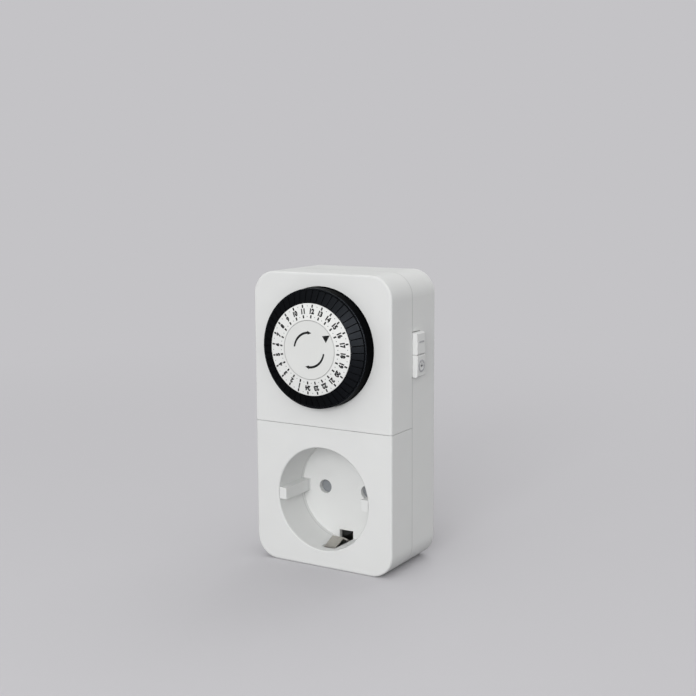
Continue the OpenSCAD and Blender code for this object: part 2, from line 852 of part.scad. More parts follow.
// Dished spring washer that presses the pinion's flange, so that the dial can slip when set by hand.
module clutch_spring() {
    low = wheel_top_z;
    high = gear_back_z - gap - 0.8 - 0.05;
    t = 0.25;
    color(steel_grey) upright() translate([clutch_x, clutch_y, 0]) rotate_extrude() polygon([
        [arbor_r + 0.3, high - t], [arbor_r + 0.6, high], [3.9, low + t], [3.9, low], [3.6, low]
    ]);
}

module clutch_wheel() {
    phase = idler_deg;
    color(brass_yellow) upright() translate([clutch_x, clutch_y, 0])
        rotate(phase) gear(wheel_teeth, train_mod, wheel_back_z, wheel_top_z, arbor_r + run);
}

module idler_gear() {
    pinion_phase = mesh_deg(idler_pinion_teeth, idler_deg + 180);
    color(inner_grey) upright() translate([idler_x, idler_y, 0]) {
        rotate(pinion_phase) gear(idler_pinion_teeth, train_mod, wheel_back_z, wheel_top_z, 0.5);
        rod(arbor_r - 0.1, idler_back_z, wheel_top_z);
        rotate(motor_deg) gear(idler_wheel_teeth, train_mod, idler_back_z, idler_top_z, 0.5);
    }
}

module motor_pinion() {
    phase = mesh_deg(motor_teeth, motor_deg + 180);
    color(steel_grey) upright() translate([shaft_x, shaft_y, 0]) {
        rotate(phase) gear(motor_teeth, train_mod, idler_back_z, idler_top_z, 0.5);
        rod(0.8, motor_top_z - motor_lid_t - 4, idler_top_z);
    }
}

// Children at the two ears of the motor.
module at_ears() {
    translate([motor_x, motor_y, 0]) for (s = [0, 180]) rotate(ear_deg + s)
        translate([ear_reach, 0, 0]) children();
}

module mechanism_plate() {
    window = lever_w / 2 + 0.8;
    post_boss_t = 0.4;
    color(inner_grey) upright() difference() {
        union() {
            slab(-plate_w / 2, plate_w / 2, plate_low_y, plate_high_y, plate_back_z, plate_top_z);
            at_ears() rod(standoff_r, motor_top_z, plate_back_z + eps);
            at_dial() rod(post_r + 2.2, plate_top_z - eps, plate_top_z + post_boss_t);
        }
        slab(nose_x - window, nose_x + window, pivot_y + pusher_arm, nose_y + nose_r + 1.4,
             plate_back_z - 1, plate_top_z + 1);
        at_plate_posts() rod(plate_screw_r + 0.2, plate_back_z - 1, plate_top_z + 1);
        translate([clutch_x, clutch_y, 0]) rod(arbor_r, plate_back_z - 1, plate_top_z + 1);
        translate([idler_x, idler_y, 0]) rod(arbor_r - 0.1 + run, plate_back_z - 1, plate_top_z + 1);
        at_dial() rod(post_r, plate_top_z, plate_top_z + 2);
        at_ears() rod(motor_screw_r, motor_top_z - 1, plate_back_z);
    }
}

module plate_screws() {
    color(steel_grey) upright() {
        at_plate_posts() {
            rod(plate_screw_r, plate_top_z - plate_screw_len, plate_top_z + eps);
            rod(plate_screw_head_r, plate_top_z, plate_top_z + plate_screw_head_t);
        }
        at_ears() {
            rod(motor_screw_r, motor_top_z - motor_lid_t - eps, plate_back_z - 0.1);
            rod(2 * motor_screw_r, motor_top_z - motor_lid_t - 1, motor_top_z - motor_lid_t);
        }
    }
}

// Drawn can of the sealed geared motor, with a stepped back.
module motor_can() {
    can_t = 0.6;
    top = motor_top_z - motor_lid_t;
    step = 1.2;
    color(steel_grey) upright() translate([motor_x, motor_y, 0]) rotate_extrude() polygon([
        [0, motor_back_z], [motor_r - 3, motor_back_z], [motor_r - 3, motor_back_z + step],
        [motor_r, motor_back_z + step], [motor_r, top], [motor_r - can_t, top],
        [motor_r - can_t, motor_back_z + step + can_t],
        [motor_r - 3 - can_t, motor_back_z + step + can_t],
        [motor_r - 3 - can_t, motor_back_z + can_t], [0, motor_back_z + can_t]
    ]);
}

// Lid of the motor with its two ears and the bearing of the output shaft.
module motor_lid() {
    top = motor_top_z;
    color(steel_grey) upright() difference() {
        translate([motor_x, motor_y, top - motor_lid_t]) linear_extrude(motor_lid_t) {
            circle(motor_r);
            rotate(ear_deg) {
                square([2 * ear_reach, 2 * ear_r], center = true);
                for (s = [-1, 1]) translate([s * ear_reach, 0]) circle(ear_r);
            }
        }
        at_ears() rod(motor_screw_r, top - 2, top + 1);
        translate([shaft_x, shaft_y, 0]) rod(0.8 + run, top - 2, top + 1);
    }
}

// Insulated lead: a round wire through the points of path.
module lead(path, r) {
    for (i = [0 : len(path) - 2]) {
        step = path[i + 1] - path[i];
        translate(path[i]) rotate([0, acos(step.z / norm(step)), atan2(step.y, step.x)])
            cylinder(r = r, h = norm(step), $fn = 24);
    }
    for (i = [1 : len(path) - 2]) translate(path[i]) sphere(1.05 * r, $fn = 24);
}

// Two leads from the back of the motor: one to the neutral sleeve, one to the load strip.
module motor_leads() {
    lead_r = 0.6;
    thin_r = 0.3;
    step_in = 4;
    exit_y = motor_y - motor_r + step_in + lead_r;
    bend_y = exit_y - 3 * step_in;
    out_z = motor_back_z - 2 * lead_r;
    strip_z = load_strip_z + strip_t / 2;
    left_x = motor_x - step_in;
    right_x = motor_x + step_in;
    color("#9a3b35") upright() {
        lead([[left_x, exit_y, motor_back_z], [left_x, exit_y, out_z], [left_x, bend_y, out_z],
              [-pin_pitch / 2, sleeve_r, out_z]], lead_r);
        lead([[right_x, exit_y, motor_back_z], [right_x, exit_y, strip_z],
              [pin_pitch / 2 - line_strip_w / 2 - 0.7 * thin_r, bend_y, strip_z]], thin_r);
    }
}

// ---------------------------------------------------------------- switch

// Block on the rear wall with two cheeks for the lever's pin and a bridge for the blade's root.
module switch_base() {
    half = cheek_x + cheek_t;
    low_y = pivot_y - 4;
    high_y = pivot_y + 2.4;
    bridge_top = blade_z - strip_t;
    color(inner_grey) upright() difference() {
        for (s = [-1, 1]) translate([nose_x, 0, 0]) {
            slab(min(s * cheek_x, s * half), max(s * cheek_x, s * half), low_y, high_y,
                 inner_rear_z, pivot_z + 2.1);
            slab(-half, half, low_y + 1.8, high_y, bridge_top - 3, bridge_top);
        }
        translate([nose_x - half - 1, pivot_y, pivot_z]) rotate([0, 90, 0])
            cylinder(r = lever_pin_r, h = 2 * half + 2);
    }
}

module lever_pin() {
    half = cheek_x + cheek_t;
    color(steel_grey) upright() translate([nose_x - half, pivot_y, pivot_z]) rotate([0, 90, 0])
        cylinder(r = lever_pin_r, h = 2 * half);
}

// Lever whose nose rides on the tappets' legs and whose pusher closes the contact blade.
module feeler_lever() {
    nose_tip_z = tappet_in_z - play;
    bar_z = pivot_z - lever_t / 2;
    half = lever_w / 2;
    color("#e8e2d0") upright() difference() {
        translate([nose_x, 0, 0]) {
            translate([-half, pivot_y, pivot_z]) rotate([0, 90, 0]) cylinder(r = lever_hub_r, h = lever_w);
            slab(-half, half, pivot_y, nose_y + nose_r, bar_z, bar_z + lever_t);
            slab(-half, half, nose_y - nose_r, nose_y + nose_r, bar_z, nose_tip_z - nose_r);
            translate([-half, nose_y, nose_tip_z - nose_r]) rotate([0, 90, 0])
                cylinder(r = nose_r, h = lever_w);
            slab(-1, 1, pivot_y + pusher_arm - 0.8, pivot_y + pusher_arm + 0.8,
                 blade_z + blade_t + 0.05, bar_z + eps);
        }
        translate([nose_x - half - 1, pivot_y, pivot_z]) rotate([0, 90, 0])
            cylinder(r = lever_pin_r + run, h = lever_w + 2);
    }
}

// Spring blade with the moving contact on its back.
module contact_blade() {
    half = lever_w / 2 - 0.4;
    color("#c98d5a") upright() translate([nose_x, 0, 0]) {
        slab(-half, half, blade_root_y, contact_y + 2.5, blade_z, blade_z + blade_t);
        translate([0, contact_y, 0]) rod(rivet_r, blade_z - rivet_t, blade_z + eps);
    }
}

// ---------------------------------------------------------------- mode rocker

// Side key with two halves that fall away slightly from the groove between them.
module mode_rocker() {
    fall = 0.15;
    bevel = 0.5;
    out_x = body_w / 2 + rocker_up;
    half = rocker_h / 2;
    in_x = body_w / 2 - wall - 0.2;
    notch = 0.45;
    color(shell_white) upright() difference() {
        union() {
            translate([0, rocker_y, rocker_low_z]) linear_extrude(rocker_d) polygon([
                [in_x, -half], [out_x - fall - bevel, -half], [out_x - fall, bevel - half],
                [out_x, -notch], [out_x - notch, 0], [out_x, notch],
                [out_x - fall, half - bevel], [out_x - fall - bevel, half], [in_x, half]
            ]);
            translate([rocker_x, rocker_y, 0]) rod(2.4, rocker_low_z, rocker_top_z);
            slab(rocker_x, in_x + eps, rocker_y - 3, rocker_y + 3, rocker_low_z, rocker_top_z);
        }
        translate([rocker_x, rocker_y, 0]) rod(rocker_pin_r + run, rocker_low_z - 1, rocker_top_z + 1);
    }
}

module rocker_pin() {
    color(steel_grey) upright() translate([rocker_x, rocker_y, 0])
        rod(rocker_pin_r, rocker_low_z - 4, rocker_top_z - 0.2);
}

// ---------------------------------------------------------------- nodes

rear_housing();
clock_cover();
socket_cover();
socket_insert();
housing_screws();
plug_pins();
earth_contact();
neutral_contact();
line_contact();
line_strip();
mechanism_plate();
plate_screws();
dial_post();
centre_disc();
dial_ring();
hour_disc();
clutch_arbor();
clutch_pinion();
clutch_wheel();
clutch_spring();
idler_gear();
motor_can();
motor_lid();
motor_pinion();
motor_leads();
switch_base();
lever_pin();
feeler_lever();
contact_blade();
mode_rocker();
rocker_pin();
shutter();
shutter_clip();
tappets(0);  // tappets_00
tappets(1);  // tappets_01
tappets(2);  // tappets_02
tappets(3);  // tappets_03
tappets(4);  // tappets_04
tappets(5);  // tappets_05
tappets(6);  // tappets_06
tappets(7);  // tappets_07
tappets(8);  // tappets_08
tappets(9);  // tappets_09
tappets(10);  // tappets_10
tappets(11);  // tappets_11
tappets(12);  // tappets_12
tappets(13);  // tappets_13
tappets(14);  // tappets_14
tappets(15);  // tappets_15
tappets(16);  // tappets_16
tappets(17);  // tappets_17
tappets(18);  // tappets_18
tappets(19);  // tappets_19
tappets(20);  // tappets_20
tappets(21);  // tappets_21
tappets(22);  // tappets_22
tappets(23);  // tappets_23
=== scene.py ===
"""Dresses a plug-in segment timer: its finishes, the print on its dial and a plain studio.

Lengths in this file are in millimetres and are turned to metres by MM where Blender takes them.
"""

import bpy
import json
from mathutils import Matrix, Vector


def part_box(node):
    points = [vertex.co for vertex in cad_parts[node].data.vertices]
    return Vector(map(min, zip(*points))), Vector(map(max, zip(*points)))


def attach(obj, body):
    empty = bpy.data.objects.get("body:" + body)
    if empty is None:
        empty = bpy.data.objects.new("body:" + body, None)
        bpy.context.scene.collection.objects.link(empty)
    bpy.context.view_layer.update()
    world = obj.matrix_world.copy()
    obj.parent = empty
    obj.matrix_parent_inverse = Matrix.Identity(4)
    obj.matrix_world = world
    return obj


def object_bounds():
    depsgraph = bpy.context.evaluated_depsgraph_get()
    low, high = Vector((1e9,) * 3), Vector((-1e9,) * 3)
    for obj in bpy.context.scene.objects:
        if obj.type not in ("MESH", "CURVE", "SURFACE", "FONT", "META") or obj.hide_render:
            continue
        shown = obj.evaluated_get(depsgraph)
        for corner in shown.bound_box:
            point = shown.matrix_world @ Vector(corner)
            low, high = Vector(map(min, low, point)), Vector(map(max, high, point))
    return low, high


bl_info = {
    "name": "Plug-in timer switch",
    "version": (1, 0, 0),
    "blender": (4, 5, 0),
    "location": "View3D > Sidebar > Timer",
    "description": "Finishes, dial print and studio for a plug-in segment timer",
    "category": "Object",
}

import json
import math
from functools import cache, partial

import bmesh
import bpy
from bpy.props import FloatProperty, FloatVectorProperty, PointerProperty, StringProperty
from mathutils import Matrix, Vector

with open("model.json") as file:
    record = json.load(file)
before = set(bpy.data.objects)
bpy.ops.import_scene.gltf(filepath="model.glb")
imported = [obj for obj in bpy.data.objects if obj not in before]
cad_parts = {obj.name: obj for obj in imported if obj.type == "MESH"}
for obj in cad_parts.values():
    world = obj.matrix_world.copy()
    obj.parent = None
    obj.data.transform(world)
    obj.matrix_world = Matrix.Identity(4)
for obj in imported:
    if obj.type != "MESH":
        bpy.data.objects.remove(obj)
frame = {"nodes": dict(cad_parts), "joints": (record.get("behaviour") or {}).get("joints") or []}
CAD_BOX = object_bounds()

MM = 0.001
HOURS = 24
HOUR_STEP = 360 / HOURS
LAMP_DISTANCE = 1200 * MM
FLOOR_RADIUS = 3000 * MM
BEVEL_SAMPLES = 6
# At scale 1 a wave texture has one band in this many metres.
WAVE_PERIOD = 2 * math.pi / 20
# Sockets of a Mix node for colours. They go by number because each kind of data repeats the names.
MIX_SHARE, MIX_A, MIX_B, MIX_RESULT = 0, 6, 7, 2

WHITE_MOULDINGS = ("rear_housing", "clock_cover", "socket_cover", "socket_insert")
TAPPETS = tuple(sorted(name for name in frame["nodes"] if name.startswith("tappets_")))
PLATED_CONTACTS = ("plug_pins", "earth_contact")
BRASS_PIECES = ("neutral_contact", "line_contact", "line_strip", "clutch_wheel")
STEEL_PIECES = (
    "housing_screws", "plate_screws", "clutch_arbor", "clutch_spring", "motor_can", "motor_lid",
    "motor_pinion", "lever_pin", "rocker_pin", "shutter_clip",
)
GREY_MOULDINGS = ("mechanism_plate", "dial_post", "switch_base", "shutter")
ACETAL_PIECES = ("clutch_pinion", "idler_gear", "feeler_lever")


# ---------------------------------------------------------------- sizes and colours


class TimerPrint(bpy.types.PropertyGroup):
    """Sizes of what is printed on the dial and raised on the mode rocker"""

    pointer_angle: FloatProperty(
        name="Pointer angle", description="Direction of the pointer, from the right, anticlockwise",
        default=math.radians(33.5), subtype="ANGLE")
    pointer_hour: FloatProperty(
        name="Hour at the pointer", description="Hour that stands at the pointer", default=15.5)
    pointer_reach: FloatVectorProperty(
        name="Pointer reach", description="Radius of the pointer's base and of its tip", size=2,
        default=(7.98 * MM, 10.85 * MM), unit="LENGTH")
    pointer_spread: FloatProperty(
        name="Pointer spread", description="Half the angle that the pointer's base takes up",
        default=math.radians(10.5), subtype="ANGLE")
    numeral_height: FloatProperty(
        name="Numeral height", description="Height of the hour numerals",
        default=2.05 * MM, unit="LENGTH")
    numeral_radius: FloatProperty(
        name="Numeral radius", description="Distance of the numerals' feet from the dial axis",
        default=13.35 * MM, unit="LENGTH")
    numeral_width: FloatProperty(
        name="Numeral width", description="Width of the numerals, as a share of the font's own",
        default=0.86)
    numeral_weight: FloatProperty(
        name="Numeral weight", description="How far the strokes grow, as a share of the font size",
        default=0.07)
    outer_tick: FloatVectorProperty(
        name="Outer ticks", description="Inner radius, outer radius and width of the outer ticks",
        default=(15.65 * MM, 16.8 * MM, 0.6 * MM), unit="LENGTH")
    inner_tick: FloatVectorProperty(
        name="Inner ticks", description="Inner radius, outer radius and width of the inner ticks",
        default=(11.8 * MM, 12.95 * MM, 0.6 * MM), unit="LENGTH")
    dot_radius: FloatProperty(
        name="Dot radius", description="Radius of the half hour dots", default=0.2 * MM,
        unit="LENGTH")
    arrow_radius: FloatProperty(
        name="Arrow radius", description="Radius of the two turning arrows", default=6.42 * MM,
        unit="LENGTH")
    arrow_width: FloatProperty(
        name="Arrow width", description="Widest part of an arrow's shaft", default=0.84 * MM,
        unit="LENGTH")
    arrow_tails: FloatVectorProperty(
        name="Arrow tails", description="Direction in which each turning arrow starts", size=2,
        default=(math.radians(172), math.radians(-9)), unit="ROTATION")
    arrow_tips: FloatVectorProperty(
        name="Arrow tips", description="Direction in which each turning arrow ends", size=2,
        default=(math.radians(80), math.radians(-105)), unit="ROTATION")
    ink_height: FloatProperty(
        name="Ink height", description="How far the ink stands on the disc", default=0.02 * MM,
        unit="LENGTH")
    mark_height: FloatProperty(
        name="Mark height", description="How far the marks stand on the rocker",
        default=0.15 * MM, unit="LENGTH")
    mark_line: FloatProperty(
        name="Mark line", description="Width of the lines of the rocker's marks",
        default=0.5 * MM, unit="LENGTH")
    bar_length: FloatProperty(
        name="Bar length", description="Length of the bar on the rocker's upper half",
        default=3.6 * MM, unit="LENGTH")
    bar_rise: FloatProperty(
        name="Bar rise", description="How far the bar lies above the middle of that half",
        default=0.7 * MM, unit="LENGTH")
    clock_radius: FloatProperty(
        name="Clock radius", description="Outer radius of the clock face on the lower half",
        default=2.3 * MM, unit="LENGTH")
    clock_hand: FloatProperty(
        name="Clock hand", description="Length of the clock face's hands", default=1.3 * MM,
        unit="LENGTH")


class TimerColours(bpy.types.PropertyGroup):
    """Colours of the finishes, as sRGB hex values"""

    shell: StringProperty(name="Shell", description="White of the housing", default="#E3E4E3")
    # This grey is painted shade, standing in for the shade in the marks' moulded relief.
    mark: StringProperty(name="Marks", description="Grey of the raised marks on the rocker",
                         default="#B9BABD")
    hours: StringProperty(name="Hour disc", description="White of the hour disc",
                          default="#EAEBE9")
    centre: StringProperty(name="Centre disc", description="White of the centre disc",
                           default="#E1E2E0")
    black: StringProperty(name="Dial", description="Black of the dial's carrier", default="#050607")
    # This pale tone along the carrier's edges is a painted highlight.
    black_edge: StringProperty(name="Dial edges", description="Black of the carrier's worn edges",
                               default="#33363B")
    tappet: StringProperty(name="Tappets", description="Black of the tappets", default="#060709")
    # This darker tone along the tappets' edges is painted shade in the grooves between them.
    tappet_edge: StringProperty(name="Tappet edges", description="Black of the tappets' edges",
                                default="#050506")
    ink: StringProperty(name="Ink", description="Black of the print", default="#08090B")
    pale_ink: StringProperty(name="Pale ink", description="Grey of the half hour dots",
                             default="#9C9D9E")
    grey: StringProperty(name="Inner mouldings", description="Grey of the inner mouldings",
                         default="#8D9094")
    acetal: StringProperty(name="Acetal", description="Ivory of gears and lever", default="#E6E0CE")
    nickel: StringProperty(name="Nickel", description="Nickel plating", default="#CFCBC4")
    brass: StringProperty(name="Brass", description="Stamped brass", default="#D1B26A")
    steel: StringProperty(name="Steel", description="Zinc plated steel", default="#BFC2C6")
    bronze: StringProperty(name="Bronze", description="Rolled spring bronze", default="#C68C5C")
    lead: StringProperty(name="Lead", description="Insulation of the motor's leads",
                         default="#8F302B")
    backdrop: StringProperty(name="Backdrop", description="Colour behind the timer",
                             default="#C4C3C6")


class TimerStage(bpy.types.PropertyGroup):
    """Where the camera stands and how much light there is"""

    camera_place: FloatVectorProperty(
        name="Camera", description="Place of the camera", subtype="TRANSLATION", unit="LENGTH",
        default=(236.3 * MM, -423.1 * MM, 123.3 * MM))
    camera_turn: FloatVectorProperty(
        name="Camera turn", description="Yaw, pitch and roll of the camera", subtype="EULER",
        default=(math.radians(31.137), math.radians(8.404), math.radians(-0.345)))
    focal_length: FloatProperty(
        name="Focal length", description="Focal length in millimetres on a 36 mm sensor",
        default=61.74)
    ambient: FloatProperty(name="Ambient", description="Level of the light from all round",
                           default=0.65)
    key_level: FloatProperty(name="Key", description="Level of the light from the front",
                             default=0.43)
    back_level: FloatProperty(name="Back", description="Level of the light from behind",
                              default=0.15)
    high_level: FloatProperty(name="High", description="Level of the light from high in front",
                              default=0.05)


# ---------------------------------------------------------------- shapes


def joint(name):
    """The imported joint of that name."""
    return next(j for j in frame["joints"] if j["name"] == name)


def dial_axis():
    """Place of the dial's axis, which runs along Y."""
    x, _, z = joint("dial_turn")["pos_m"]
    return x, z


@cache
def disc_slope():
    """Radius and front level of the hour disc at its inner edge and at its outer edge."""
    x, z = dial_axis()
    reach = {}
    for vertex in frame["nodes"]["hour_disc"].data.vertices:
        radius = round(math.hypot(vertex.co.x - x, vertex.co.z - z), 5)
        reach[radius] = min(vertex.co.y, reach.get(radius, 0))
    inner, outer = min(reach), max(reach)
    return (inner, reach[inner]), (outer, reach[outer])


def on_hour_disc(across, up, height):
    """The point at that place of the sloping hour disc, seen from the front."""
    x, z = dial_axis()
    (inner, inner_y), (outer, outer_y) = disc_slope()
    share = (math.hypot(across, up) - inner) / (outer - inner)
    return Vector((x + across, inner_y + (outer_y - inner_y) * share - height, z + up))


def on_centre_disc(across, up, height):
    """The point at that place of the flat centre disc, seen from the front."""
    x, z = dial_axis()
    return Vector((x + across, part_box("centre_disc")[0].y - height, z + up))


def on_rocker(depth, up, height):
    """The point of the rocker's face that lies depth behind its middle and up above it."""
    low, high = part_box("mode_rocker")
    return Vector((high.x + height, (low.y + high.y) / 2 + depth, (low.z + high.z) / 2 + up))


def polar(radius, angle):
    """The point at that radius and angle, as across and up."""
    return radius * math.cos(angle), radius * math.sin(angle)


def add_prism(mesh, outline, place, sink, height):
    """A closed prism on an outline, from sink below the surface to height above it."""
    foot = [mesh.verts.new(place(u, v, -sink)) for u, v in outline]
    head = [mesh.verts.new(place(u, v, height)) for u, v in outline]
    mesh.faces.new(head)
    mesh.faces.new(foot[::-1])
    for i in range(len(outline)):
        j = (i + 1) % len(outline)
        mesh.faces.new((foot[i], foot[j], head[j], head[i]))


def bar(radius, length, angle, width):
    """Outline of a straight bar along the radius at that angle, from radius outward."""
    outward = Vector(polar(1, angle))
    side = Vector((-outward.y, outward.x)) * width / 2
    near, far = outward * radius, outward * (radius + length)
    return [near - side, far - side, far + side, near + side]


def round_outline(centre, radius, steps=12):
    """Outline of a small disc."""
    return [Vector(centre) + Vector(polar(radius, 2 * math.pi * i / steps)) for i in range(steps)]


def finish_piece(name, mesh, material, body):
    """Turns a bmesh into a piece that wears the material and rides on the body."""
    bmesh.ops.recalc_face_normals(mesh, faces=mesh.faces)
    data = bpy.data.meshes.new(name)
    mesh.to_mesh(data)
    mesh.free()
    piece = bpy.data.objects.new(name, data)
    bpy.context.scene.collection.objects.link(piece)
    data.materials.append(material)
    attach(piece, body)
    return piece


def dress(names, material):
    """Gives CAD nodes a finish."""
    for name in names:
        slots = frame["nodes"][name].material_slots
        if not slots:
            frame["nodes"][name].data.materials.append(material)
        for slot in slots:
            slot.material = material


# ---------------------------------------------------------------- finishes


def linear(colour):
    """The linear RGBA of an sRGB hex value."""
    channels = [int(colour[i:i + 2], 16) / 255 for i in (1, 3, 5)]
    return [c / 12.92 if c <= 0.04045 else ((c + 0.055) / 1.055) ** 2.4 for c in channels] + [1.0]


def shade(colour, factor):
    """A linear colour made lighter or darker by that factor."""
    return [min(1.0, c * factor) for c in colour[:3]] + [1.0]


def add_node(tree, kind, settings=None, inputs=None):
    """Adds a node with its settings. An input is a value, or the output that is linked to it."""
    node = tree.nodes.new(kind)
    for name, value in (settings or {}).items():
        setattr(node, name, value)
    for name, value in (inputs or {}).items():
        if isinstance(value, bpy.types.NodeSocket):
            tree.links.new(value, node.inputs[name])
        else:
            node.inputs[name].default_value = value
    return node


def empty_tree(owner):
    """The node tree of a material or world, with nothing in it."""
    owner.use_nodes = True
    owner.node_tree.nodes.clear()
    return owner.node_tree


def new_finish(name, metallic=0.0, ior=1.5):
    """A material with its node tree, its shader and the place that its patterns use."""
    material = bpy.data.materials.new(name)
    tree = empty_tree(material)
    shader = add_node(tree, "ShaderNodeBsdfPrincipled", {}, {"Metallic": metallic, "IOR": ior})
    add_node(tree, "ShaderNodeOutputMaterial", {}, {"Surface": shader.outputs["BSDF"]})
    place = add_node(tree, "ShaderNodeTexCoord").outputs["Object"]
    return material, tree, shader, place


def mottle(tree, shader, place, colour, size, spread, roughness, roughness_spread):
    """Lets colour and roughness drift a little, in patches of that size."""
    # The noise seldom leaves these two values.
    low, high = 0.3, 0.7
    noise = add_node(tree, "ShaderNodeTexNoise", {}, {"Vector": place, "Scale": 1 / size,
                                                      "Detail": 3.0})
    ramp = add_node(tree, "ShaderNodeValToRGB", {}, {"Fac": noise.outputs[0]})
    for stop, position, factor in zip(ramp.color_ramp.elements, (low, high),
                                      (1 - spread, 1 + spread)):
        stop.position = position
        stop.color = shade(colour, factor)
    gloss = add_node(tree, "ShaderNodeMapRange", {}, {
        "Value": noise.outputs[0], "From Min": low, "From Max": high,
        "To Min": roughness - roughness_spread, "To Max": roughness + roughness_spread})
    tree.links.new(ramp.outputs["Color"], shader.inputs["Base Color"])
    tree.links.new(gloss.outputs["Result"], shader.inputs["Roughness"])
    return ramp.outputs["Color"]


def relief(tree, shader, place, size, depth, edge):
    """Gives the surface a grain of that size and depth, and edges rounded to that radius."""
    rounded = add_node(tree, "ShaderNodeBevel", {"samples": BEVEL_SAMPLES}, {"Radius": edge})
    noise = add_node(tree, "ShaderNodeTexNoise", {}, {"Vector": place, "Scale": 1 / size,
                                                      "Detail": 2.0})
    bump = add_node(tree, "ShaderNodeBump", {}, {
        "Strength": 1.0, "Distance": depth, "Height": noise.outputs[0],
        "Normal": rounded.outputs["Normal"]})
    tree.links.new(bump.outputs["Normal"], shader.inputs["Normal"])
    return rounded.outputs["Normal"]


def worn_edges(tree, shader, rounded, colour, painted_edge_colour, sheen, edge_sheen):
    """Paints a tone and changes the sheen along edges, where the rounded normal leaves the flat
    one: a pale tone is a painted highlight, a dark one painted shade.
    """
    flat = add_node(tree, "ShaderNodeNewGeometry").outputs["Normal"]
    # The cosine of the angle between the two falls from 1 on the flat to about 0.7 at an edge.
    flat_from, edge_from = 0.98, 0.85
    turned = add_node(tree, "ShaderNodeVectorMath", {"operation": "DOT_PRODUCT"},
                      {0: rounded, 1: flat})
    edge = add_node(tree, "ShaderNodeMapRange", {}, {
        "Value": turned.outputs["Value"], "From Min": flat_from, "From Max": edge_from})
    mixed = add_node(tree, "ShaderNodeMix", {"data_type": "RGBA"}, {
        MIX_SHARE: edge.outputs["Result"], MIX_A: colour, MIX_B: painted_edge_colour})
    gleam = add_node(tree, "ShaderNodeMapRange", {}, {
        "Value": edge.outputs["Result"], "To Min": sheen, "To Max": edge_sheen})
    tree.links.new(mixed.outputs[MIX_RESULT], shader.inputs["Base Color"])
    tree.links.new(gleam.outputs["Result"], shader.inputs["Specular IOR Level"])


def past_plane(tree, place, axis, level):
    """How far a place lies past the plane where that axis has that level."""
    parts = add_node(tree, "ShaderNodeSeparateXYZ", {}, {"Vector": place})
    return add_node(tree, "ShaderNodeMath", {"operation": "SUBTRACT"},
                    {0: parts.outputs[axis], 1: level}).outputs["Value"]


def past_circle(tree, place, axis_at, radius):
    """How far a place lies outside the circle of that radius about an axis along Y."""
    x, z = axis_at
    flat = add_node(tree, "ShaderNodeVectorMath", {"operation": "MULTIPLY"},
                    {0: place, 1: (1, 0, 1)})
    reach = add_node(tree, "ShaderNodeVectorMath", {"operation": "DISTANCE"},
                     {0: flat.outputs["Vector"], 1: (x, 0, z)})
    return add_node(tree, "ShaderNodeMath", {"operation": "SUBTRACT"},
                    {0: reach.outputs["Value"], 1: radius}).outputs["Value"]


def shade_joint(tree, shader, colour, past, depth):
    """Paints shade into a narrow band on both sides of a joint, darker by that share: painted shade
    for the gap.
    """
    dark_within, clear_beyond = 0.1 * MM, 0.35 * MM
    away = add_node(tree, "ShaderNodeMath", {"operation": "ABSOLUTE"}, {0: past})
    light = add_node(tree, "ShaderNodeMapRange", {"interpolation_type": "SMOOTHSTEP"}, {
        "Value": away.outputs["Value"], "From Min": dark_within, "From Max": clear_beyond,
        "To Min": 1 - depth, "To Max": 1.0})
    tone = add_node(tree, "ShaderNodeMix", {"data_type": "RGBA", "blend_type": "MULTIPLY"}, {
        MIX_SHARE: 1.0, MIX_A: colour, MIX_B: light.outputs["Result"]})
    tree.links.new(tone.outputs[MIX_RESULT], shader.inputs["Base Color"])


def white_abs(name, colour, roughness, grain_depth, joint_at=None, painted_shade_depth=0.0):
    """ABS, moulded in an eroded tool, with painted shade along the joint whose distance joint_at
    gives.
    """
    # A fine even grain spreads the highlights, so that large faces look satin and clean. The real
    # grain is about 0.05 mm, and is drawn at 0.4 mm so that it shows at all.
    material, tree, shader, place = new_finish(name, ior=1.46)
    shader.inputs["Specular IOR Level"].default_value = 0.14
    tone = mottle(tree, shader, place, linear(colour), size=14 * MM, spread=0.012,
                  roughness=roughness, roughness_spread=0.03)
    relief(tree, shader, place, size=0.4 * MM, depth=grain_depth, edge=0.22 * MM)
    # Painted shade along the joint.
    if joint_at:
        shade_joint(tree, shader, tone, joint_at(tree, place), painted_shade_depth)
    return material


def black_abs(name, colour, painted_edge_colour, roughness, sheen, edge_sheen, edge_radius):
    """ABS coloured black all through, moulded in a polished tool."""
    # Deep black with a soft cool sheen. The edges gleam in a thin line where they face the light,
    # from a real sheen that rises there, and their pale edge colour adds a painted highlight.
    material, tree, shader, place = new_finish(name, ior=1.45)
    shader.inputs["Specular Tint"].default_value = (0.8, 0.88, 1.0, 1.0)
    tone = mottle(tree, shader, place, linear(colour), size=3 * MM, spread=0.12,
                  roughness=roughness, roughness_spread=0.04)
    rounded = relief(tree, shader, place, size=0.5 * MM, depth=0.0015 * MM, edge=edge_radius)
    worn_edges(tree, shader, rounded, tone, linear(painted_edge_colour), sheen, edge_sheen)
    return material


def printing_ink(name, colour):
    """Pad printing ink, dried on plastic."""
    # A dull, slightly uneven film that is flatter in gloss than the disc under it.
    material, tree, shader, place = new_finish(name, ior=1.45)
    mottle(tree, shader, place, linear(colour), size=0.5 * MM, spread=0.12, roughness=0.55,
           roughness_spread=0.06)
    relief(tree, shader, place, size=0.2 * MM, depth=0.002 * MM, edge=0.02 * MM)
    return material


def grey_pbt(name, colour):
    """PBT with glass fibre, moulded."""
    # Dull and faintly cloudy, with short pale fibres near the surface.
    material, tree, shader, place = new_finish(name, ior=1.5)
    mottle(tree, shader, place, linear(colour), size=1.5 * MM, spread=0.07, roughness=0.55,
           roughness_spread=0.05)
    relief(tree, shader, place, size=0.3 * MM, depth=0.004 * MM, edge=0.15 * MM)
    return material


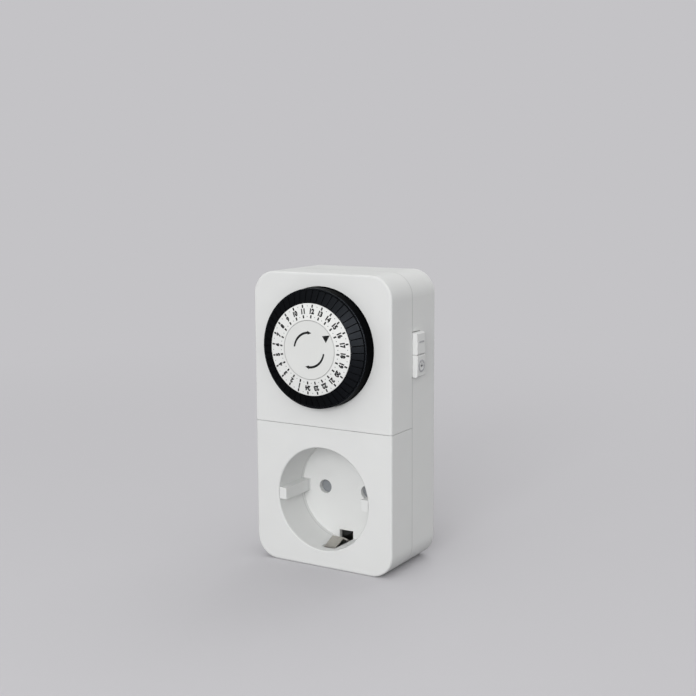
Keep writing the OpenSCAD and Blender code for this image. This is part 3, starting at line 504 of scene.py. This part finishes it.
def ivory_acetal(name, colour):
    """Acetal, moulded."""
    # Waxy and dense: a soft broad highlight over a slightly translucent ivory.
    material, tree, shader, place = new_finish(name, ior=1.48)
    mottle(tree, shader, place, linear(colour), size=2 * MM, spread=0.03, roughness=0.35,
           roughness_spread=0.04)
    relief(tree, shader, place, size=0.6 * MM, depth=0.001 * MM, edge=0.1 * MM)
    shader.inputs["Subsurface Weight"].default_value = 0.15
    shader.inputs["Subsurface Radius"].default_value = (1.0, 0.9, 0.7)
    shader.inputs["Subsurface Scale"].default_value = 0.5 * MM
    return material


def turned_nickel(name, colour):
    """Brass, turned and nickel plated."""
    # Bright and warm grey, with fine rings left by the lathe across the pins' length.
    material, tree, shader, place = new_finish(name, metallic=1.0)
    mottle(tree, shader, place, linear(colour), size=4 * MM, spread=0.04, roughness=0.2,
           roughness_spread=0.05)
    rounded = add_node(tree, "ShaderNodeBevel", {"samples": BEVEL_SAMPLES}, {
        "Radius": 0.12 * MM})
    # Rings of 0.12 mm feed would vanish, so they are drawn 0.35 mm apart.
    rings = add_node(tree, "ShaderNodeTexWave", {"bands_direction": "Y"}, {
        "Vector": place, "Scale": WAVE_PERIOD / (0.35 * MM), "Distortion": 0.6,
        "Detail": 2.0, "Detail Scale": 3.0})
    bump = add_node(tree, "ShaderNodeBump", {}, {
        "Strength": 1.0, "Distance": 0.003 * MM, "Height": rings.outputs["Fac"],
        "Normal": rounded.outputs["Normal"]})
    tree.links.new(bump.outputs["Normal"], shader.inputs["Normal"])
    return material


def rolled_metal(name, colour, roughness, streak):
    """Sheet metal, rolled and stamped."""
    # Fine streaks along the sheet stretch the highlights, and the stamped edges are brighter.
    material, tree, shader, place = new_finish(name, metallic=1.0)
    stretched = add_node(tree, "ShaderNodeMapping", {}, {"Vector": place,
                                                         "Scale": (1.0, 1.0, 0.08)})
    sheet_place = stretched.outputs["Vector"]
    mottle(tree, shader, sheet_place, linear(colour), size=streak, spread=0.06,
           roughness=roughness, roughness_spread=0.08)
    relief(tree, shader, sheet_place, size=streak, depth=0.002 * MM, edge=0.1 * MM)
    return material


def pvc_insulation(name, colour):
    """Soft PVC, extruded on the wire."""
    # Smooth with a slight bloom, so that the colour looks a little dusty.
    material, tree, shader, place = new_finish(name, ior=1.53)
    mottle(tree, shader, place, linear(colour), size=1 * MM, spread=0.08, roughness=0.42,
           roughness_spread=0.06)
    relief(tree, shader, place, size=0.3 * MM, depth=0.002 * MM, edge=0.05 * MM)
    return material


def studio_floor(name, colour, clear_radius, far_radius):
    """Matt paper that takes the timer's shadow and fades into the backdrop's colour far away."""
    material = bpy.data.materials.new(name)
    tree = empty_tree(material)
    # The lamps light level paper a little less than full, so its own colour is paler.
    lit, dark = shade(colour, 1.13), shade(colour, 0.15)
    mirror_dark_from, mirror_dark_full = 20 * MM, -60 * MM
    swallowed = 0.5
    place = add_node(tree, "ShaderNodeTexCoord").outputs["Object"]
    distance = add_node(tree, "ShaderNodeVectorMath", {"operation": "LENGTH"}, {0: place})
    fade = add_node(tree, "ShaderNodeMapRange", {"interpolation_type": "SMOOTHSTEP"}, {
        "Value": distance.outputs["Value"], "From Min": clear_radius, "From Max": far_radius})
    grain = add_node(tree, "ShaderNodeTexNoise", {}, {"Vector": place, "Scale": 1 / (2 * MM),
                                                      "Detail": 4.0})
    bump = add_node(tree, "ShaderNodeBump", {}, {"Distance": 0.02 * MM,
                                                 "Height": grain.outputs[0]})
    # Painted reflection: mirrors see the paper's left side as a dark ground, as if a black card lay
    # there.
    path = add_node(tree, "ShaderNodeLightPath")
    across = add_node(tree, "ShaderNodeSeparateXYZ", {}, {"Vector": place})
    left = add_node(tree, "ShaderNodeMapRange", {}, {
        "Value": across.outputs["X"], "From Min": mirror_dark_from, "From Max": mirror_dark_full})
    mirror_dark = add_node(tree, "ShaderNodeMath", {"operation": "MULTIPLY"}, {
        0: left.outputs["Result"], 1: path.outputs["Is Glossy Ray"]})
    # It sends up only about half the light that the camera sees, so that undersides stay shaded.
    dim = add_node(tree, "ShaderNodeMath", {"operation": "MULTIPLY_ADD"}, {
        0: path.outputs["Is Diffuse Ray"], 1: swallowed, 2: mirror_dark.outputs["Value"]})
    tone = add_node(tree, "ShaderNodeMix", {"data_type": "RGBA"}, {
        MIX_SHARE: dim.outputs["Value"], MIX_A: lit, MIX_B: dark})
    paper = add_node(tree, "ShaderNodeBsdfDiffuse", {}, {
        "Color": tone.outputs[MIX_RESULT], "Normal": bump.outputs["Normal"]})
    glow = add_node(tree, "ShaderNodeEmission", {}, {"Color": colour, "Strength": 1.0})
    # Only the camera sees the glow, so that it puts no light on the timer.
    share = add_node(tree, "ShaderNodeMath", {"operation": "MULTIPLY"}, {
        0: fade.outputs["Result"], 1: path.outputs["Is Camera Ray"]})
    mixed = add_node(tree, "ShaderNodeMixShader", {}, {
        0: share.outputs["Value"], 1: paper.outputs["BSDF"], 2: glow.outputs["Emission"]})
    add_node(tree, "ShaderNodeOutputMaterial", {}, {"Surface": mixed.outputs["Shader"]})
    return material


# ---------------------------------------------------------------- finishes of the pieces


class TIMER_OT_finish_housing(bpy.types.Operator):
    """Gives the shells, the socket insert and the rocker their white plastic"""

    bl_idname = "timer.finish_housing"
    bl_label = "Finish the housing"

    def execute(self, context):
        colours = context.scene.timer_colours
        low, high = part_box("mode_rocker")
        # The rocker starts this far behind the joint between the covers and the rear shell.
        rocker_gap = 0.1 * MM
        seam = partial(past_plane, axis="Y", level=low.y - rocker_gap)
        notch = partial(past_plane, axis="Z", level=(low.z + high.z) / 2)
        # Painted shade darkens a narrow band along the seam of covers and rear shell, and across
        # the rocker's notch.
        dress(WHITE_MOULDINGS, white_abs(
            "abs_white_eroded", colours.shell, roughness=0.6, grain_depth=0.006 * MM,
            joint_at=seam, painted_shade_depth=0.16))
        dress(("mode_rocker",), white_abs(
            "abs_white_rocker", colours.shell, roughness=0.5, grain_depth=0.004 * MM,
            joint_at=notch, painted_shade_depth=0.3))
        return {"FINISHED"}


class TIMER_OT_finish_dial(bpy.types.Operator):
    """Gives the dial's carrier, tappets and discs their plastics"""

    bl_idname = "timer.finish_dial"
    bl_label = "Finish the dial"

    def execute(self, context):
        colours = context.scene.timer_colours
        (inner_radius, _), _ = disc_slope()
        # Both discs get painted shade in a narrow band at the hour disc's inner edge.
        rim = partial(past_circle, axis_at=dial_axis(), radius=inner_radius)
        for disc, name, colour in (("hour_disc", "abs_white_printed", colours.hours),
                                   ("centre_disc", "abs_white_smooth", colours.centre)):
            dress((disc,), white_abs(name, colour, roughness=0.38, grain_depth=0.002 * MM,
                                     joint_at=rim, painted_shade_depth=0.2))
        # The carrier's pale edges are a painted highlight beside a real sheen; the tappets' dark,
        # dull edges are painted shade in the grooves.
        dress(("dial_ring",), black_abs(
            "abs_black_polished", colours.black, colours.black_edge, roughness=0.3, sheen=0.005,
            edge_sheen=0.95, edge_radius=0.45 * MM))
        dress(TAPPETS, black_abs(
            "abs_black_tappet", colours.tappet, colours.tappet_edge, roughness=0.38, sheen=0.18,
            edge_sheen=0.02, edge_radius=0.22 * MM))
        return {"FINISHED"}


class TIMER_OT_finish_contacts(bpy.types.Operator):
    """Gives the pins, the earth strip and the inner contacts their metals"""

    bl_idname = "timer.finish_contacts"
    bl_label = "Finish the contacts"

    def execute(self, context):
        colours = context.scene.timer_colours
        dress(PLATED_CONTACTS, turned_nickel("brass_nickel_plated", colours.nickel))
        dress(BRASS_PIECES, rolled_metal("brass_stamped", colours.brass, roughness=0.3,
                                         streak=0.5 * MM))
        dress(("contact_blade",), rolled_metal("bronze_rolled", colours.bronze, roughness=0.28,
                                               streak=0.4 * MM))
        return {"FINISHED"}


class TIMER_OT_finish_works(bpy.types.Operator):
    """Gives the plate, gears, lever, motor, screws and leads their finishes"""

    bl_idname = "timer.finish_works"
    bl_label = "Finish the works"

    def execute(self, context):
        colours = context.scene.timer_colours
        dress(GREY_MOULDINGS, grey_pbt("pbt_grey", colours.grey))
        dress(ACETAL_PIECES, ivory_acetal("acetal_ivory", colours.acetal))
        dress(STEEL_PIECES, rolled_metal("steel_zinc_plated", colours.steel, roughness=0.36,
                                         streak=0.6 * MM))
        dress(("motor_leads",), pvc_insulation("pvc_lead", colours.lead))
        return {"FINISHED"}


# ---------------------------------------------------------------- print and marks


def hour_angle(sizes, hour):
    """Direction of an hour on the dial at rest, in radians from the right."""
    return sizes.pointer_angle + math.radians(HOUR_STEP) * (sizes.pointer_hour - hour)


def numeral_mesh(text, sizes):
    """Mesh of a printed number, its feet on y = 0 and its middle at x = 0."""
    curve = bpy.data.curves.new("numeral_" + text, "FONT")
    curve.body = text
    curve.align_x = "CENTER"
    curve.offset = sizes.numeral_weight
    # Any thickness does here, because the numeral gets the ink's height on the disc.
    curve.extrude = 0.01
    curve.resolution_u = 4
    holder = bpy.data.objects.new(curve.name, curve)
    bpy.context.scene.collection.objects.link(holder)
    outline = bpy.data.meshes.new_from_object(holder.evaluated_get(
        bpy.context.evaluated_depsgraph_get()))
    bpy.data.objects.remove(holder)
    bpy.data.curves.remove(curve)
    low = min(v.co.y for v in outline.vertices)
    high = max(v.co.y for v in outline.vertices)
    scale = sizes.numeral_height / (high - low)
    outline.transform(Matrix.Diagonal((scale * sizes.numeral_width, scale, scale, 1))
                      @ Matrix.Translation((0, -low, 0)))
    return outline


def add_numeral(mesh, text, angle, sizes):
    """Lays a number on the hour disc with its head outward."""
    outline = numeral_mesh(text, sizes)
    up = Vector(polar(1, angle))
    right = Vector((up.y, -up.x))
    thick = max(v.co.z for v in outline.vertices)
    for vertex in outline.vertices:
        flat = right * vertex.co.x + up * (sizes.numeral_radius + vertex.co.y)
        vertex.co = on_hour_disc(flat.x, flat.y, sizes.ink_height * vertex.co.z / thick)
    mesh.from_mesh(outline)
    bpy.data.meshes.remove(outline)


class TIMER_OT_print_hours(bpy.types.Operator):
    """Prints the 24 numerals, the hour ticks and the half hour dots on the turning disc"""

    bl_idname = "timer.print_hours"
    bl_label = "Print the hours"

    def execute(self, context):
        sizes = context.scene.timer_print
        colours = context.scene.timer_colours
        ink = sizes.ink_height
        dark, pale = bmesh.new(), bmesh.new()
        for hour in range(1, HOURS + 1):
            angle = hour_angle(sizes, hour)
            add_numeral(dark, str(hour), angle, sizes)
            for near, far, width in (sizes.outer_tick, sizes.inner_tick):
                tick = bar(near, far - near, angle, width)
                add_prism(dark, tick, on_hour_disc, sink=ink, height=ink)
                middle = polar((near + far) / 2, hour_angle(sizes, hour + 0.5))
                dot = round_outline(middle, sizes.dot_radius)
                add_prism(pale, dot, on_hour_disc, sink=ink, height=ink)
        finish_piece("hour_print", dark, printing_ink("ink_black", colours.ink), "dial")
        finish_piece("half_hour_dots", pale, printing_ink("ink_grey", colours.pale_ink), "dial")
        return {"FINISHED"}


def arrow_outline(radius, start, end, width, steps=24):
    """Outline of a clockwise arrow along a circle: a shaft that grows to width, and a head."""
    # The shaft starts at this share of its width and is full at half of its length.
    tail = 0.75
    head_length, head_width = 2.0 * width, 1.7 * width
    head_turn = head_length / radius
    shaft_end = end + head_turn
    outer, inner = [], []
    for i in range(steps + 1):
        share = i / steps
        angle = start + (shaft_end - start) * share
        half = width * (tail + (1 - tail) * min(1, 2 * share)) / 2
        outer.append(polar(radius + half, angle))
        inner.append(polar(radius - half, angle))
    head = [polar(radius + head_width / 2, shaft_end), polar(radius, end),
            polar(radius - head_width / 2, shaft_end)]
    return outer + head + inner[::-1]


class TIMER_OT_print_centre(bpy.types.Operator):
    """Prints the two turning arrows and the pointer on the fixed disc"""

    bl_idname = "timer.print_centre"
    bl_label = "Print the centre disc"

    def execute(self, context):
        sizes = context.scene.timer_print
        base_radius, tip_radius = sizes.pointer_reach
        pointer = [polar(tip_radius, sizes.pointer_angle),
                   polar(base_radius, sizes.pointer_angle + sizes.pointer_spread),
                   polar(base_radius, sizes.pointer_angle - sizes.pointer_spread)]
        arrows = [arrow_outline(sizes.arrow_radius, tail, tip, sizes.arrow_width)
                  for tail, tip in zip(sizes.arrow_tails, sizes.arrow_tips)]
        mesh = bmesh.new()
        for outline in (*arrows, pointer):
            add_prism(mesh, outline, on_centre_disc, sink=sizes.ink_height,
                      height=sizes.ink_height)
        ink = bpy.data.materials["ink_black"]
        finish_piece("centre_print", mesh, ink, "housing")
        return {"FINISHED"}


class TIMER_OT_mark_rocker(bpy.types.Operator):
    """Raises a bar on the rocker's upper half and a small clock face on its lower half"""

    bl_idname = "timer.mark_rocker"
    bl_label = "Mark the rocker"

    def execute(self, context):
        sizes = context.scene.timer_print
        colours = context.scene.timer_colours
        low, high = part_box("mode_rocker")
        # The middles of the two halves lie this far above and below the rocker's notch.
        half_middle = (high.z - low.z) / 4
        line, radius = sizes.mark_line, sizes.clock_radius
        outlines = [[(u * sizes.bar_length / 2, half_middle + sizes.bar_rise + v * line / 2)
                     for u, v in ((-1, -1), (1, -1), (1, 1), (-1, 1))]]
        centre = Vector((0, -half_middle))
        steps = 32
        for i in range(steps):
            a, b = 2 * math.pi * i / steps, 2 * math.pi * (i + 1) / steps
            outlines.append([centre + Vector(polar(r, t)) for r, t in (
                (radius - line, a), (radius, a), (radius, b), (radius - line, b))])
        for angle in (math.radians(90), math.radians(0)):
            outlines.append([centre + corner for corner in
                             bar(-line / 2, sizes.clock_hand, angle, line)])
        # The halves fall away from the notch to the ends, so the marks reach this far inward.
        sink = 0.3 * MM
        mesh = bmesh.new()
        for outline in outlines:
            add_prism(mesh, outline, on_rocker, sink, sizes.mark_height)
        # The marks wear painted shade: a grey that stands in for the shade of their relief.
        finish_piece("rocker_marks", mesh, white_abs(
            "abs_mark_painted_shade", colours.mark, roughness=0.55, grain_depth=0.002 * MM),
            "rocker")
        return {"FINISHED"}


# ---------------------------------------------------------------- stage


def add_floor(place, colour):
    """A round sheet of paper, so large that its edge never shows."""
    mesh = bmesh.new()
    bmesh.ops.create_circle(mesh, cap_ends=True, radius=FLOOR_RADIUS, segments=64)
    data = bpy.data.meshes.new("floor")
    mesh.to_mesh(data)
    mesh.free()
    data.materials.append(studio_floor("paper_floor", colour, clear_radius=120 * MM,
                                       far_radius=600 * MM))
    floor = bpy.data.objects.new("floor", data)
    floor.location = place
    bpy.context.scene.collection.objects.link(floor)


def direction(azimuth, elevation):
    """Unit vector towards a lamp: azimuth 0 is in front of the timer, 90 is at its right."""
    a, e = math.radians(azimuth), math.radians(elevation)
    return Vector((math.sin(a) * math.cos(e), -math.cos(a) * math.cos(e), math.sin(e)))


def add_lamp(name, target, azimuth, elevation, size, level):
    """A square soft lamp. At level 1 it alone shows a facing white surface at full white."""
    lamp = bpy.data.lights.new(name, "AREA")
    lamp.shape = "SQUARE"
    lamp.size = size
    lamp.energy = level * math.pi ** 2 * LAMP_DISTANCE ** 2
    holder = bpy.data.objects.new(name, lamp)
    holder.location = target + direction(azimuth, elevation) * LAMP_DISTANCE
    holder.rotation_mode = "QUATERNION"
    holder.rotation_quaternion = direction(azimuth, elevation).to_track_quat("Z", "Y")
    holder.visible_camera = False
    bpy.context.scene.collection.objects.link(holder)
    return holder


def add_camera(stage):
    """The camera, from its place and its yaw to the left, pitch down and roll."""
    yaw, pitch, roll = stage.camera_turn
    ahead = Vector((-math.sin(yaw) * math.cos(pitch), math.cos(yaw) * math.cos(pitch),
                    -math.sin(pitch)))
    level_right = Vector((math.cos(yaw), math.sin(yaw), 0))
    level_up = level_right.cross(ahead)
    right = math.cos(roll) * level_right + math.sin(roll) * level_up
    up = math.cos(roll) * level_up - math.sin(roll) * level_right
    data = bpy.data.cameras.new("camera")
    data.sensor_width = 36
    data.lens = stage.focal_length
    data.clip_start, data.clip_end = 10 * MM, 20000 * MM
    camera = bpy.data.objects.new("camera", data)
    turn = Matrix((right, up, -ahead)).transposed().to_4x4()
    camera.matrix_world = Matrix.Translation(Vector(stage.camera_place)) @ turn
    bpy.context.scene.collection.objects.link(camera)
    bpy.context.scene.camera = camera


def add_world(colour, ambient):
    """Even light from all round. The camera sees the backdrop's colour, and mirrors see a studio
    that is bright above and at the right and dark at the left, so that metal has contrast."""
    world = bpy.data.worlds.new("studio")
    tree = empty_tree(world)
    bright_side, bright_level, dark_level, blend = (0.8, 0.0, 0.6), 0.9, 0.12, 0.7
    light = add_node(tree, "ShaderNodeBackground", {}, {"Color": (1, 1, 1, 1),
                                                        "Strength": ambient})
    seen = add_node(tree, "ShaderNodeBackground", {}, {"Color": colour, "Strength": 1.0})
    view = add_node(tree, "ShaderNodeTexCoord").outputs["Generated"]
    side = add_node(tree, "ShaderNodeVectorMath", {"operation": "DOT_PRODUCT"},
                    {0: view, 1: bright_side})
    level = add_node(tree, "ShaderNodeMapRange", {"interpolation_type": "SMOOTHSTEP"}, {
        "Value": side.outputs["Value"], "From Min": -blend, "From Max": blend,
        "To Min": dark_level, "To Max": bright_level})
    mirrored = add_node(tree, "ShaderNodeBackground", {}, {
        "Color": (1, 1, 1, 1), "Strength": level.outputs["Result"]})
    path = add_node(tree, "ShaderNodeLightPath")
    unlit = add_node(tree, "ShaderNodeMixShader", {}, {
        0: path.outputs["Is Glossy Ray"], 1: light.outputs["Background"],
        2: mirrored.outputs["Background"]})
    mixed = add_node(tree, "ShaderNodeMixShader", {}, {
        0: path.outputs["Is Camera Ray"], 1: unlit.outputs["Shader"],
        2: seen.outputs["Background"]})
    add_node(tree, "ShaderNodeOutputWorld", {}, {"Surface": mixed.outputs["Shader"]})
    bpy.context.scene.world = world


class TIMER_OT_set_stage(bpy.types.Operator):
    """Sets up the floor, the soft lamps, the world and the camera"""

    bl_idname = "timer.set_stage"
    bl_label = "Set the stage"

    def execute(self, context):
        stage = context.scene.timer_stage
        colour = linear(context.scene.timer_colours.backdrop)
        low, high = CAD_BOX
        target = (low + high) / 2
        add_floor((target.x, target.y, low.z), colour)
        # The key lamp lights the front and the back lamp the top. The high lamp is a faint fill.
        add_lamp("key_lamp", target, azimuth=15, elevation=14, size=550 * MM,
                 level=stage.key_level)
        add_lamp("back_lamp", target, azimuth=180, elevation=50, size=800 * MM,
                 level=stage.back_level)
        add_lamp("high_lamp", target, azimuth=-6, elevation=34, size=500 * MM,
                 level=stage.high_level)
        add_world(colour, stage.ambient)
        add_camera(stage)
        context.scene.view_settings.view_transform = "Standard"
        return {"FINISHED"}


# ---------------------------------------------------------------- add-on


class TIMER_PT_panel(bpy.types.Panel):
    """Lists the steps that dress the timer"""

    bl_idname = "TIMER_PT_panel"
    bl_label = "Plug-in timer"
    bl_space_type = "VIEW_3D"
    bl_region_type = "UI"
    bl_category = "Timer"

    def draw(self, context):
        column = self.layout.column()
        for step in STEPS:
            column.operator(step.bl_idname)
        for group in (context.scene.timer_print, context.scene.timer_colours,
                      context.scene.timer_stage):
            for name in type(group).__annotations__:
                column.prop(group, name)


GROUPS = {"timer_print": TimerPrint, "timer_colours": TimerColours, "timer_stage": TimerStage}
STEPS = (
    TIMER_OT_finish_housing, TIMER_OT_finish_dial, TIMER_OT_finish_contacts,
    TIMER_OT_finish_works, TIMER_OT_print_hours, TIMER_OT_print_centre, TIMER_OT_mark_rocker,
    TIMER_OT_set_stage,
)


def register():
    for item in (*GROUPS.values(), *STEPS, TIMER_PT_panel):
        bpy.utils.register_class(item)
    for name, group in GROUPS.items():
        setattr(bpy.types.Scene, name, PointerProperty(type=group))


def unregister():
    for name in GROUPS:
        delattr(bpy.types.Scene, name)
    for item in (TIMER_PT_panel, *reversed(STEPS), *reversed(GROUPS.values())):
        bpy.utils.unregister_class(item)


def main():
    register()
    for step in STEPS:
        group, name = step.bl_idname.split(".")
        getattr(getattr(bpy.ops, group), name)()


if __name__ == "__main__":
    main()
